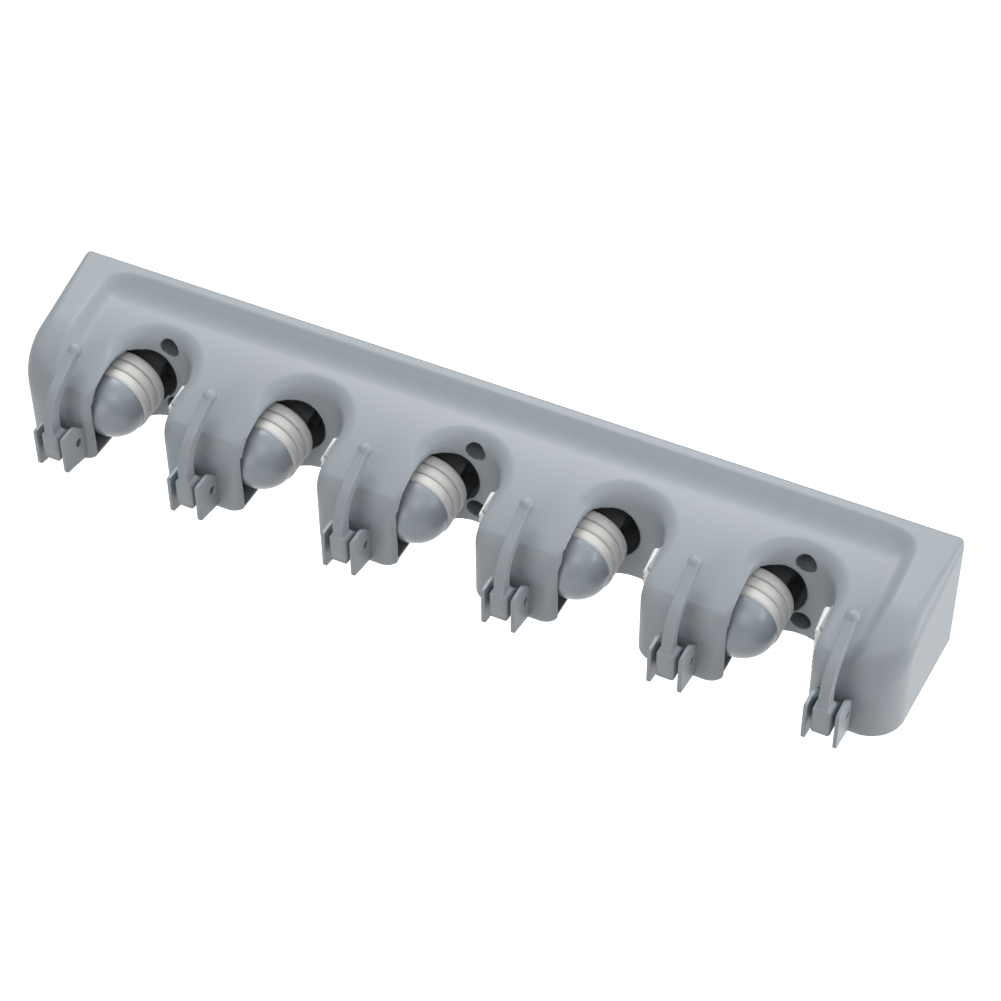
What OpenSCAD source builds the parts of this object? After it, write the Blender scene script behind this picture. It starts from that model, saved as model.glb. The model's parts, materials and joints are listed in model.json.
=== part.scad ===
// Wall rack that grips five long handles between rollers and grip pads,
// with six fold-down hooks on its fingers.
// X runs along the wall, Y into the wall and Z up.
// The origin is the centre of the face that lies against the wall.

/* [Rack] */
// Distance from one handle slot to the next
slot_pitch = 75; // [72:1:84]
// Clear width of a handle slot between the fingers
slot_w = 36; // [34:0.5:38]
// Width of an end finger, from its slot to the end of the rack
end_w = 39.5; // [37:0.5:46]
// Height of the face against the wall
wall_h = 58; // [57:0.5:62]
// Depth from the wall to the front of the fingers
finger_d = 67.5; // [67:0.5:72]
// Depth from the wall to the back of a slot
slot_back = 27; // [26:0.5:28]

/* [Shell] */
// Thickness of the moulded walls
shell_t = 2; // [1.6:0.1:2.4]
// Height of the upright front of a finger
front_h = 36.7; // [36.2:0.1:38.5]
// Depth of the sloping part above the front
slope_run = 20.25; // [18:0.25:22]
// Rise of the sloping part above the front
slope_rise = 11.6; // [11:0.1:13]
// Depth of the flat band along the top of the wall face
band_d = 5.5; // [4:0.5:7]
// Depth of the ramp from the band to the tray
ramp_run = 5; // [3:0.5:7]
// Drop from the band to the tray
tray_drop = 4.8; // [3:0.1:5.5]
// Radius of the tray's back corners
tray_r = 11; // [6:0.5:14]
// Width of the raised cheek at each end
cheek_w = 19; // [16:0.5:22]
// Fall of a cheek's top from the wall to its crease
cheek_fall = 7.8; // [6:0.1:9]
// Depth from the wall to the crease of a cheek
cheek_run = 50; // [47:0.5:54]
// Radius of the upright corners at the ends
end_r = 15; // [10:0.5:18]
// Narrowing of each end towards the front
end_draft = 2; // [1:0.1:4]
// Radius of the top corners seen from the front
top_r = 6; // [4:0.5:8]
// Radius of the upright corners of the fingers
finger_r = 4; // [3:0.5:6]
// Radius of the corners at the back of a slot
slot_r = 10; // [6:0.5:12]

/* [Wall screws] */
// Diameter of a wall screw hole
screw_hole_d = 4.5; // [4:0.1:5]
// Diameter of the well that takes the screw head
well_d = 9; // [8.5:0.1:10]
// Thickness of the wall round a well
well_t = 1.5; // [1.2:0.1:1.8]
// Thickness of the well's floor under the screw head
well_floor = 2.5; // [2:0.1:4]
// Distance between the upper and the lower screw hole
hole_gap = 34; // [33:0.5:35]
// Height of the upper screw hole above the middle of the wall face
hole_top_z = 13.4; // [13:0.1:14]

/* [Back plate] */
// Thickness of the back plate
plate_t = 3; // [2.5:0.1:4]
// Gap round the back plate
plate_clear = 0.2; // [0.1:0.05:0.4]
// Diameter of a plate screw
plate_screw_d = 3; // [2.5:0.1:3.5]
// Head diameter of a plate screw
plate_head_d = 5.8; // [5.4:0.1:6.4]
// Length of a plate screw
plate_screw_l = 12; // [10:0.5:16]
// Diameter of the boss for a plate screw
boss_d = 7; // [6.4:0.1:8]
// Offset of the plate screws from the middle of a slot
boss_x = 13; // [12:0.5:14]
// Distance between the upper and the lower plate screw
boss_gap = 30; // [26:0.5:32]

/* [Rollers] */
// Outer diameter over the ribs of a roller
roller_d = 33; // [30:0.5:34]
// Length of the ribbed sleeve
sleeve_l = 17.6; // [16:0.2:18]
// Thickness of the sleeve over its ribs
sleeve_t = 3.2; // [2.6:0.1:4]
// Depth of the grooves between the ribs
groove_deep = 1.3; // [0.8:0.1:1.6]
// Number of ribs on a sleeve
rib_count = 3; // [2:1:4]
// Gap between the roller's nose and the inside of the finger's front
nose_gap = 1.4; // [1:0.1:4]
// Gap between the back of a slot and the roller
roller_gap = 4.5; // [4:0.1:5]
// Depth of the roller's axis below the middle of the wall face
roller_drop = 7.7; // [7.5:0.1:8.5]
// Angle of the roller's track above the horizontal
track_angle = 20; // [16:1:21]
// Travel of a roller along its track
track_travel = 12; // [9:0.5:12]
// Diameter of the round opening behind a roller
port_d = 32; // [30:0.5:33]
// Offset of that opening to the right of the roller's axis
port_x = 3.5; // [3:0.5:5]
// Offset of that opening above the roller's axis
port_up = 1; // [0:0.1:1.5]
// Diameter of an axle
axle_d = 6; // [5:0.5:7]
// Running gap round an axle
axle_clear = 0.05; // [0.02:0.01:0.08]

/* [Slide blocks] */
// Length of a slide block along its track
block_l = 16; // [14:0.5:18]
// Width of a slide block's neck
neck_w = 14; // [13:0.5:15]
// Width of the flange on each side of the neck
flange_w = 4; // [3:0.5:5]
// Thickness of the flange
flange_t = 3; // [2.5:0.1:3.5]
// Gap round a slide block in its rails
slide_clear = 0.3; // [0.2:0.05:0.4]
// Thickness of the rails
rail_t = 2.2; // [1.8:0.1:2.6]

/* [Grip pads] */
// Depth of a pad along the slot
pad_d = 14; // [12:0.5:16]
// Height of a pad
pad_h = 24; // [20:0.5:26]
// Height of the pad's top above the middle of the wall face
pad_top = 9; // [6:0.5:10]
// Distance from the back of the slot to the pad
pad_back = 13.8; // [10:0.2:15]
// How far a pad stands out of its finger
pad_proud = 4.2; // [3:0.1:5]
// Pitch of the pad's ribs
pad_pitch = 3; // [2:0.1:4]
// Height of the pad's ribs
pad_rib = 0.8; // [0.4:0.1:1.2]
// Border of the pad round the key that holds it in the wall
pad_border = 3; // [2:0.5:4]
// How far the ledge above a pad stands out of its finger
ledge_out = 1.5; // [1:0.1:2.5]
// Height of the ledge above a pad
ledge_h = 2; // [1.5:0.1:3]

/* [Hooks] */
// Distance of an end hook from its slot
end_hook_x = 12; // [10.5:0.5:14]
// Distance of the hook's pivot in front of the finger
pivot_out = 4.2; // [4:0.1:5]
// Height of the pivot above the bottom of the finger
pivot_up = 14.4; // [13.5:0.1:15]
// Diameter of the pivot pins on a hook
pivot_d = 3.8; // [3:0.1:4.2]
// Gap between the hook's foot and the finger
foot_clear = 0.4; // [0.3:0.05:0.6]
// Width of the hook's foot
foot_w = 8.6; // [7:0.1:10]
// Depth of the hook's foot from its pivot to its front
foot_d = 10.6; // [9:0.1:12]
// Height of the hook's foot
foot_h = 13.2; // [11:0.1:15]
// Width of the hook's arm
arm_w = 4.4; // [4:0.1:4.5]
// Thickness of the hook's stem
stem_t = 7; // [5:0.1:8]
// Thickness of the hook's arm
arm_t = 4.4; // [4:0.1:4.5]
// Height of the hook's bend above its foot
bend_up = 15.5; // [13:0.5:17]
// Radius of the bend along the middle of the bar
bend_r = 17; // [12:0.5:20]
// Reach of the arm from its bend back to the ball
arm_run = 23.5; // [20:0.5:25]
// Rise of the arm from its bend to the ball
arm_rise = 13.4; // [12:0.2:15]
// Diameter of the ball on the hook's tip
ball_d = 6.4; // [6.4:0.1:7.2]
// Thickness of the ears that carry a hook
ear_t = 1.8; // [1.4:0.1:2.4]
// Gap between an ear and the hook's foot
ear_gap = 1.6; // [1:0.1:2]
// Reach of the ears in front of the finger
ear_out = 15.4; // [12:0.1:17]
// Height of the ears' front edge
ear_h = 20; // [18:0.5:21]
// Depth of the ears' front edge below the pivot
ear_below = 9.2; // [8:0.1:10]
// Height of the ears' lower edge above the bottom of the finger where they meet
ear_foot_up = 2.4; // [1:0.1:4]
// Fall of the ears' top edge where they meet the finger
ear_root_drop = 5.4; // [3:0.1:7]
// Length of that falling edge in front of the finger
ear_root_run = 6; // [4:0.1:8]

/* [Hidden] */
$fn = 64;
slot_count = 5;
finger_count = slot_count + 1;
overrun = 1;
arc_steps = 10;
wall_screw_slots = [1, 3, 5];
plate_screw_slots = [1, 2, 4, 5];

// Overall places
half_l = ((slot_count - 1) * slot_pitch + slot_w) / 2 + end_w;
top_z = wall_h / 2;
bottom_z = -wall_h / 2;
front_y = -finger_d;
slot_y = -slot_back;
knee_z = bottom_z + front_h;
crease_y = front_y + slope_run;
crease_z = knee_z + slope_rise;
tray_y = -(band_d + ramp_run);
tray_z = top_z - tray_drop;
slope_angle = atan(slope_rise / slope_run);
roof_slope = (tray_z - crease_z) / (tray_y - crease_y);
function slot_x(i) = (i - (slot_count + 1) / 2) * slot_pitch;
function finger_left(k) = k == 1 ? -half_l : slot_x(k - 1) + slot_w / 2;
function finger_right(k) = k == finger_count ? half_l : slot_x(k) - slot_w / 2;
function roof_z(y) = crease_z + (y - crease_y) * roof_slope;
function hook_x(k) =
    k == 1 ? finger_right(1) - end_hook_x :
    k == finger_count ? finger_left(finger_count) + end_hook_x :
    (finger_left(k) + finger_right(k)) / 2;

// Inside of the shell
inner_front_y = front_y + shell_t;
inner_roof_back_z = roof_z(-plate_t) - shell_t;
inner_bottom_z = bottom_z + shell_t;
slope_drop = shell_t / cos(slope_angle);
inner_knee_z = knee_z - slope_drop + shell_t * tan(slope_angle);
inner_crease_y = ((crease_z - shell_t - crease_y * roof_slope)
    - (knee_z - slope_drop - front_y * tan(slope_angle))) / (tan(slope_angle) - roof_slope);
inner_crease_z = roof_z(inner_crease_y) - shell_t;
inner_slot_y = slot_y + shell_t;

// Wells and bosses
well_r = well_d / 2 + well_t;
hole_bottom_z = hole_top_z - hole_gap;
boss_mid_z = (hole_top_z + hole_bottom_z) / 2;
boss_rows = [boss_mid_z - boss_gap / 2, boss_mid_z + boss_gap / 2];
head_h = (plate_head_d - plate_screw_d) / 2;
screw_clear = 0.05;
recess_l_share = 0.55;
recess_w_share = 0.16;
recess_deep_share = 0.6;
// Places of the wall screws as X and Z
wall_screws = [for (i = wall_screw_slots) for (z = [hole_top_z, hole_bottom_z]) [slot_x(i), z]];
// Places of the plate screws as X and Z
plate_screw_places = [for (i = plate_screw_slots) for (z = boss_rows) [slot_x(i) + boss_x, z]];

// Rollers, with their axes on the left edges of the slots
roller_x = slot_w / 2;
roller_z = -roller_drop;
roller_back_y = slot_y - roller_gap;
sleeve_front_y = roller_back_y - sleeve_l;
nose_l = sleeve_front_y - inner_front_y - nose_gap;
core_r = roller_d / 2 - sleeve_t;
nose_r = roller_d / 2 - groove_deep / 2;
rib_pitch = sleeve_l / rib_count;
axle_r = axle_d / 2;
head_out = 1.2;
head_l = 2.6;
head_slit = 1.2;
hub_t = 2.6;
hub_r = axle_r + hub_t;
bore_share = 0.9;
bore_l = sleeve_l * bore_share;
head_back = -roller_back_y + bore_l + slide_clear;
chamber_share = 0.6;
chamber_l = nose_l * chamber_share;
collar_out = 2;
collar_l = 2;
seat_clear = 0.02;
nose_power_share = 0.55;
rib_power = 3;

// Slide blocks and rails
block_back_y = -plate_t - slide_clear;
flange_y = block_back_y - flange_t;
lip_y = flange_y - slide_clear;
neck_room = 2;
neck_y = inner_slot_y + neck_room;
lip_out = flange_w - slide_clear;
rail_half = neck_w / 2 + flange_w + slide_clear;
track_start = -block_l / 2;
track_end = block_l / 2 + track_travel + slide_clear;

// Pads
pad_back_y = slot_y - pad_back;
pad_mid_y = pad_back_y - pad_d / 2;
pad_mid_z = pad_top - pad_h / 2;
pad_clear = 0.05;
pad_lip = 1;
pad_lip_t = 1.2;
pad_rows = floor((pad_h - pad_pitch) / pad_pitch);

// Hooks
pivot_y = front_y - pivot_out;
pivot_z = bottom_z + pivot_up;
pivot_r = pivot_d / 2;
heel_r = pivot_out - foot_clear;
foot_front_y = pivot_y - foot_d;
foot_top_z = pivot_z - heel_r + foot_h;
foot_back_y = front_y - foot_clear;
stem_mid_y = foot_front_y + stem_t / 2;
bend_z = foot_top_z + bend_up;
ball_y = stem_mid_y + arm_run;
ball_z = bend_z + arm_rise;
arm_angle = atan(arm_rise / arm_run);
bend_turn = 90 - arm_angle;
bend_cut = bend_r * tan(bend_turn / 2);
ear_x = foot_w / 2 + ear_gap;
ear_front_y = front_y - ear_out;
ear_bottom_z = pivot_z - ear_below;
ear_top_z = ear_bottom_z + ear_h;
ear_foot_z = bottom_z + ear_foot_up;
ear_chamfer = 1.5;
ear_root = shell_t / 2;
pivot_collar = 1.4;
collar_r = pivot_r + pivot_collar;

shell_grey = [0.62, 0.65, 0.68];
core_grey = [0.47, 0.5, 0.54];
pad_white = [0.93, 0.93, 0.91];
charcoal = [0.2, 0.21, 0.23];
steel = [0.75, 0.75, 0.76];
acetal = [0.88, 0.87, 0.83];

// Points of an arc from one angle to another
function arc(x, y, r, from, to) =
    [for (s = [0 : arc_steps]) let (a = from + (to - from) * s / arc_steps) [x + r * cos(a), y + r * sin(a)]];

// A solid whose Y-Z section is given, between two places along X
module along_x(x0, x1)
    translate([x0, 0, 0]) rotate([90, 0, 90]) linear_extrude(x1 - x0) children();

// A solid whose X-Z section is given, between two places along Y
module along_y(y0, y1)
    translate([0, y1, 0]) rotate([90, 0, 0]) linear_extrude(y1 - y0) children();

// A solid whose X-Y section is given, through the whole height
module upright()
    translate([0, 0, bottom_z - overrun]) linear_extrude(wall_h + 2 * overrun) children();

// A round rod along Y
module rod(x, z, r, y0, y1)
    translate([x, y1, z]) rotate([90, 0, 0]) cylinder(h = y1 - y0, r = r);

// A round solid along Y, turned from its radius-length outline
module turned(x, z)
    translate([x, 0, z]) rotate([90, 0, 0]) rotate_extrude() children();

// Side outline of the ends, with the raised cheek
module cheek_outline()
    polygon([
        [0, bottom_z], [0, top_z], [-cheek_run, top_z - cheek_fall], [front_y, knee_z], [front_y, bottom_z]]);

// Space above the tray and the sloping front
module tray_space()
    polygon([
        [-band_d, top_z], [tray_y, tray_z], [crease_y, crease_z], [front_y, knee_z],
        [front_y - overrun, knee_z], [front_y - overrun, top_z + overrun], [-band_d, top_z + overrun]]);

// Plan of the whole rack with its ends moved in
module plan_outline(inset)
    polygon(concat(
        [[-half_l + inset, overrun], [-half_l + inset, 0]],
        arc(-half_l + end_draft + end_r, front_y + end_r, end_r - inset, 180, 270),
        arc(half_l - end_draft - end_r, front_y + end_r, end_r - inset, 270, 360),
        [[half_l - inset, 0], [half_l - inset, overrun]]));

// Plan of a handle slot, with flared corners at its mouth
module slot_plan(i)
    translate([slot_x(i), 0]) polygon(concat(
        arc(-slot_w / 2 + slot_r, slot_y - slot_r, slot_r, 180, 90),
        arc(slot_w / 2 - slot_r, slot_y - slot_r, slot_r, 90, 0),
        arc(slot_w / 2 + finger_r, front_y + finger_r, finger_r, 180, 270),
        [[slot_w / 2 + finger_r, front_y - overrun], [-slot_w / 2 - finger_r, front_y - overrun]],
        arc(-slot_w / 2 - finger_r, front_y + finger_r, finger_r, 270, 360)));

// Plan of the tray
module tray_plan()
    polygon(concat(
        arc(-half_l + cheek_w + tray_r, -band_d - tray_r, tray_r, 180, 90),
        arc(half_l - cheek_w - tray_r, -band_d - tray_r, tray_r, 90, 0),
        [[half_l - cheek_w, front_y - overrun], [-half_l + cheek_w, front_y - overrun]]));

// Front view of the rack with round top corners
module front_outline()
    polygon(concat(
        [[-half_l, bottom_z - overrun]],
        arc(-half_l + top_r, top_z - top_r, top_r, 180, 90),
        arc(half_l - top_r, top_z - top_r, top_r, 90, 0),
        [[half_l, bottom_z - overrun]]));

module outer_form()
    difference() {
        intersection() {
            along_x(-half_l, half_l) cheek_outline();
            upright() plan_outline(0);
            along_y(front_y - overrun, overrun) front_outline();
        }
        intersection() {
            along_x(-half_l, half_l) tray_space();
            upright() tray_plan();
        }
        for (i = [1 : slot_count]) upright() slot_plan(i);
    }

// Side outline of the inside of a finger, above its floor
module finger_inside()
    polygon([
        [inner_slot_y, inner_bottom_z], [inner_slot_y, roof_z(inner_slot_y) - shell_t],
        [inner_crease_y, inner_crease_z], [inner_front_y, inner_knee_z], [inner_front_y, inner_bottom_z]]);

// Side outline of the room behind the slots
module rear_inside()
    polygon([
        [overrun, inner_bottom_z], [overrun, inner_roof_back_z], [-plate_t, inner_roof_back_z],
        [inner_slot_y, roof_z(inner_slot_y) - shell_t], [inner_slot_y, inner_bottom_z]]);

// Room for the roller between floor and roof, open to the slot on its right
module roller_room(i)
    intersection() {
        along_x(finger_right(i) - finger_r, slot_x(i)) finger_inside();
        translate([finger_right(i) - finger_r, inner_front_y, bottom_z - overrun])
            cube([slot_w, slot_y - inner_front_y, wall_h]);
    }

module inner_form() {
    intersection() {
        union() {
            along_x(-half_l, half_l) rear_inside();
            for (k = [1 : finger_count])
                along_x(finger_left(k) + shell_t, finger_right(k) - shell_t) finger_inside();
        }
        upright() plan_outline(shell_t);
    }
    for (i = [1 : slot_count]) roller_room(i);
}

module ear_outline()
    polygon([
        [front_y + ear_root, ear_foot_z], [front_y + ear_root, ear_top_z - ear_root_drop],
        [front_y, ear_top_z - ear_root_drop], [front_y - ear_root_run, ear_top_z],
        [ear_front_y + ear_chamfer, ear_top_z], [ear_front_y, ear_top_z - ear_chamfer],
        [ear_front_y, ear_bottom_z + ear_chamfer], [ear_front_y + ear_chamfer, ear_bottom_z]]);

module ear_pair(k)
    for (side = [-1, 1])
        difference() {
            along_x(hook_x(k) + side * (ear_x + ear_t / 2) - ear_t / 2,
                    hook_x(k) + side * (ear_x + ear_t / 2) + ear_t / 2) ear_outline();
            translate([hook_x(k) + side * ear_x - ear_t - overrun, pivot_y, pivot_z]) rotate([0, 90, 0])
                cylinder(h = 2 * (ear_t + overrun), r = pivot_r + axle_clear);
        }

module front_shell()
    color(shell_grey) {
        difference() {
            union() {
                difference() {
                    outer_form();
                    inner_form();
                }
                for (p = wall_screws) rod(p[0], p[1], well_r, inner_slot_y, -plate_t);
                for (p = plate_screw_places) rod(p[0], p[1], boss_d / 2, inner_slot_y, -plate_t);
                for (i = [1 : slot_count]) pad_ledge(i);
            }
            for (p = wall_screws) {
                rod(p[0], p[1], well_d / 2, slot_y - overrun, -plate_t - well_floor);
                rod(p[0], p[1], screw_hole_d / 2, slot_y, overrun);
            }
            for (p = plate_screw_places)
                rod(p[0], p[1], plate_screw_d / 2 + screw_clear, -plate_screw_l - overrun, overrun);
            for (i = [1 : slot_count]) {
                rod(slot_x(i) - roller_x + port_x, roller_z + port_up, port_d / 2, slot_y - overrun, inner_slot_y);
                pad_window(i, pad_clear);
            }
        }
        for (k = [1 : finger_count]) ear_pair(k);
    }

// Rails of one track, along its own axis
module track_rails()
    difference() {
        along_y(lip_y - rail_t, -plate_t / 2)
            translate([track_start - rail_t, -rail_half - rail_t])
            square([track_end - track_start + 2 * rail_t, 2 * (rail_half + rail_t)]);
        along_y(lip_y, 0)
            translate([track_start, -rail_half]) square([track_end - track_start, 2 * rail_half]);
        along_y(lip_y - rail_t - overrun, 0)
            translate([track_start, -rail_half + lip_out])
            square([track_end - track_start, 2 * (rail_half - lip_out)]);
    }

// Puts a child drawn round the roller's axis, with its travel along +X, in slot i
module on_track(i)
    translate([slot_x(i) - roller_x, 0, roller_z]) rotate([0, 180 + track_angle, 0]) children();

module back_plate()
    color(charcoal) {
        difference() {
            along_y(-plate_t, 0)
                translate([-half_l + shell_t + plate_clear, inner_bottom_z + plate_clear])
                square([2 * (half_l - shell_t - plate_clear),
                        inner_roof_back_z - inner_bottom_z - 2 * plate_clear]);
            for (p = wall_screws) rod(p[0], p[1], screw_hole_d / 2, -plate_t - overrun, overrun);
            for (p = plate_screw_places) screw_form(p, screw_clear);
        }
        for (i = [1 : slot_count]) on_track(i) track_rails();
    }

// A countersunk screw, or the space it takes with a gap round it
module screw_form(p, gap) {
    rod(p[0], p[1], plate_screw_d / 2 + gap, -plate_screw_l, 0);
    translate([p[0], 0, p[1]]) rotate([90, 0, 0])
        cylinder(h = head_h, r1 = plate_head_d / 2 + gap, r2 = plate_screw_d / 2 + gap);
}

module plate_screws()
    color(steel) for (p = plate_screw_places)
        difference() {
            screw_form(p, 0);
            screw_recess(p);
        }

// Cross recess in a screw head
module screw_recess(p) {
    blade_l = plate_head_d * recess_l_share;
    blade_w = plate_head_d * recess_w_share;
    for (turn = [0, 90])
        translate([p[0], 0, p[1]]) rotate([0, turn, 0])
            translate([-blade_l / 2, -head_h * recess_deep_share, -blade_w / 2])
            cube([blade_l, head_h, blade_w]);
}

module slide_block(i)
    color(charcoal) difference() {
        union() {
            on_track(i) {
                along_y(flange_y, block_back_y)
                    translate([-block_l / 2, -neck_w / 2 - flange_w])
                    square([block_l, neck_w + 2 * flange_w]);
                along_y(neck_y, block_back_y)
                    translate([-block_l / 2, -neck_w / 2 + slide_clear])
                    square([block_l, neck_w - 2 * slide_clear]);
            }
            rod(slot_x(i) - roller_x, roller_z, hub_r, roller_back_y + slide_clear, block_back_y);
        }
        rod(slot_x(i) - roller_x, roller_z, axle_r + seat_clear, roller_back_y - overrun, overrun);
        rod(slot_x(i) - roller_x, roller_z, axle_r + collar_out + seat_clear, block_back_y - collar_l, overrun);
    }

module roller_axle(i)
    color(acetal) difference() {
        turned(slot_x(i) - roller_x, roller_z) polygon([
            [0, -block_back_y], [axle_r + collar_out, -block_back_y],
            [axle_r + collar_out, -block_back_y + collar_l], [axle_r, -block_back_y + collar_l],
            [axle_r, head_back], [axle_r + head_out, head_back], [axle_r + head_out, head_back + head_l / 2],
            [axle_r - head_slit / 2, head_back + head_l], [0, head_back + head_l]]);
        translate([slot_x(i) - roller_x - axle_d, -head_back - head_l - overrun, roller_z - head_slit / 2])
            cube([2 * axle_d, head_l + bore_l / 2 + overrun, head_slit]);
    }

// Outline of a roller's body, from its back to its nose
module core_outline() {
    back = -roller_back_y;
    polygon(concat(
        [[axle_r + axle_clear, back], [core_r, back], [core_r, back + sleeve_l]],
        [for (s = [0 : arc_steps]) let (f = sin(90 * s / arc_steps))
            [nose_r * pow(1 - f * f, nose_power_share), back + sleeve_l + nose_l * f]],
        [[0, back + bore_l + chamber_l], [axle_r + 2 * head_out, back + bore_l + chamber_l],
         [axle_r + 2 * head_out, back + bore_l], [axle_r + axle_clear, back + bore_l]]));
}

module roller_core(i)
    color(core_grey) turned(slot_x(i) - roller_x, roller_z) core_outline();

// Outline of a sleeve with round ribs
module sleeve_outline() {
    back = -roller_back_y;
    polygon(concat(
        [[core_r, back]],
        [for (r = [0 : rib_count - 1]) for (s = [0 : arc_steps]) let (f = s / arc_steps)
            [roller_d / 2 - groove_deep * pow(abs(2 * f - 1), rib_power), back + rib_pitch * (r + f)]],
        [[core_r, back + sleeve_l]]));
}

module grip_sleeve(i)
    color(pad_white) turned(slot_x(i) - roller_x, roller_z) sleeve_outline();

// Ledge on a finger's wall along the top of its pad
module pad_ledge(i)
    translate([slot_x(i) + slot_w / 2 - ledge_out, pad_mid_y - pad_d / 2, pad_top + pad_clear])
        cube([ledge_out + shell_t / 2, pad_d, ledge_h]);

// The hole in a finger's wall that takes the pad's key
module pad_window(i, gap)
    translate([slot_x(i) + slot_w / 2 - overrun, pad_mid_y - pad_d / 2 + pad_border - gap,
               pad_mid_z - pad_h / 2 + pad_border - gap])
        cube([shell_t + 2 * overrun, pad_d - 2 * (pad_border - gap), pad_h - 2 * (pad_border - gap)]);

module grip_pad(i)
    color(pad_white) {
        face_x = slot_x(i) + slot_w / 2 - pad_proud + pad_rib;
        wall_x = slot_x(i) + slot_w / 2;
        key_d = pad_d - 2 * pad_border;
        key_h = pad_h - 2 * pad_border;
        translate([face_x, pad_mid_y - pad_d / 2, pad_mid_z - pad_h / 2])
            cube([wall_x - face_x, pad_d, pad_h]);
        for (r = [0 : pad_rows])
            translate([face_x, pad_mid_y + pad_d / 2, pad_mid_z - pad_h / 2 + r * pad_pitch])
                rotate([90, 0, 0]) linear_extrude(pad_d)
                polygon([[0, 0], [-pad_rib, pad_pitch / 2], [0, pad_pitch]]);
        translate([wall_x - pad_rib, pad_mid_y - key_d / 2, pad_mid_z - key_h / 2])
            cube([shell_t + pad_rib + pad_lip_t, key_d, key_h]);
        translate([wall_x + shell_t, pad_mid_y - key_d / 2 - pad_lip, pad_mid_z - key_h / 2 - pad_lip])
            cube([pad_lip_t, key_d + 2 * pad_lip, key_h + 2 * pad_lip]);
    }

// Side outline of a hook's foot, round under its pivot
module foot_outline()
    polygon(concat(
        [[foot_front_y, foot_top_z], [foot_front_y, pivot_z - heel_r]],
        arc(pivot_y, pivot_z, heel_r, 270, 360),
        [[pivot_y + heel_r, foot_top_z - heel_r], [stem_mid_y + stem_t / 2, foot_top_z]]));

// Middle line of a hook's stem and arm as Y, Z, heading and thickness
function bar_line() = concat(
    [[stem_mid_y, foot_top_z - foot_h / 2, 90, stem_t]],
    [for (s = [0 : arc_steps]) let (f = s / arc_steps, a = 90 - bend_turn * f)
        [stem_mid_y + bend_r - bend_r * sin(a), bend_z - bend_cut + bend_r * cos(a), a,
         stem_t + (arm_t - stem_t) * f]],
    [[ball_y, ball_z, arm_angle, arm_t]]);

// A point beside the middle line, on its front or its back
function bar_side(p, side) = [p[0] - side * p[3] / 2 * sin(p[2]), p[1] + side * p[3] / 2 * cos(p[2])];

// Side outline of a hook's stem and arm
module arm_outline() {
    line = bar_line();
    polygon(concat(
        [for (p = line) bar_side(p, 1)],
        [for (s = [len(line) - 1 : -1 : 0]) bar_side(line[s], -1)]));
}

module hook(k)
    color(shell_grey) {
        along_x(hook_x(k) - foot_w / 2, hook_x(k) + foot_w / 2) foot_outline();
        along_x(hook_x(k) - arm_w / 2, hook_x(k) + arm_w / 2) arm_outline();
        translate([hook_x(k), ball_y, ball_z]) rotate([-bend_turn, 0, 0]) sphere(d = ball_d);
        translate([hook_x(k) - ear_x - ear_t, pivot_y, pivot_z]) rotate([0, 90, 0])
            cylinder(h = 2 * (ear_x + ear_t), r = pivot_r);
        translate([hook_x(k) - ear_x + slide_clear, pivot_y, pivot_z]) rotate([0, 90, 0])
            cylinder(h = 2 * (ear_x - slide_clear), r = collar_r);
    }

front_shell();
back_plate();
plate_screws();
for (i = [1 : slot_count]) {
    slide_block(i);
    roller_axle(i);
    roller_core(i);
    grip_sleeve(i);
    grip_pad(i);
}
for (k = [1 : finger_count])
    hook(k);
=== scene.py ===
import json
import math

import bpy
import numpy as np
from mathutils import Matrix, Vector


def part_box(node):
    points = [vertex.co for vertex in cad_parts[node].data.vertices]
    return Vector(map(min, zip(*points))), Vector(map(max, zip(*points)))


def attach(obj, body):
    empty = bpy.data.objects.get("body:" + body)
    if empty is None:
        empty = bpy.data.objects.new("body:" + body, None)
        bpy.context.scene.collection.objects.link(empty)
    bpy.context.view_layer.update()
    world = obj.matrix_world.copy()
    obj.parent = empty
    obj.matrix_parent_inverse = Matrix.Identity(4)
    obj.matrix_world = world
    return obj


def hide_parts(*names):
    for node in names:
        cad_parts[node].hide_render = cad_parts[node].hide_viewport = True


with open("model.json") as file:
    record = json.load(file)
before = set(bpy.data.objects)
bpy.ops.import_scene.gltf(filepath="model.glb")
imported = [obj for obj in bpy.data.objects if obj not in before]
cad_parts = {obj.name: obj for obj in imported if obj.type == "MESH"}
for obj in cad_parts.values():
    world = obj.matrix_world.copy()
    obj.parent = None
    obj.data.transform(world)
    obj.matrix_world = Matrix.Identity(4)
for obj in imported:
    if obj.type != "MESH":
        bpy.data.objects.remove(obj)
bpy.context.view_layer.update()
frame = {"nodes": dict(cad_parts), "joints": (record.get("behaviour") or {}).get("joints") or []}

MM = 0.001

# Places taken from the frame
SLOT_COUNT = sum(name.startswith("grip_sleeve_") for name in frame["nodes"])
SHELL_LOW, SHELL_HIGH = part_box("front_shell")
SLEEVES = [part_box(f"grip_sleeve_{i + 1}") for i in range(SLOT_COUNT)]
PADS = [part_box(f"grip_pad_{i + 1}") for i in range(SLOT_COUNT)]
ROLLER_X = [(low.x + high.x) / 2 for low, high in SLEEVES]
ROLLER_Z = (SLEEVES[0][0].z + SLEEVES[0][1].z) / 2
ROLLER_R = (SLEEVES[0][1].z - SLEEVES[0][0].z) / 2
SLEEVE_BACK = SLEEVES[0][1].y
SLEEVE_FRONT = SLEEVES[0][0].y
NOSE_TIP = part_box("roller_core_1")[0].y
PIVOTS = [Vector(j["pos_m"]) for j in frame["joints"] if j["name"].startswith("hook_fold_")]
SLOT_PITCH = ROLLER_X[1] - ROLLER_X[0]

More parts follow.
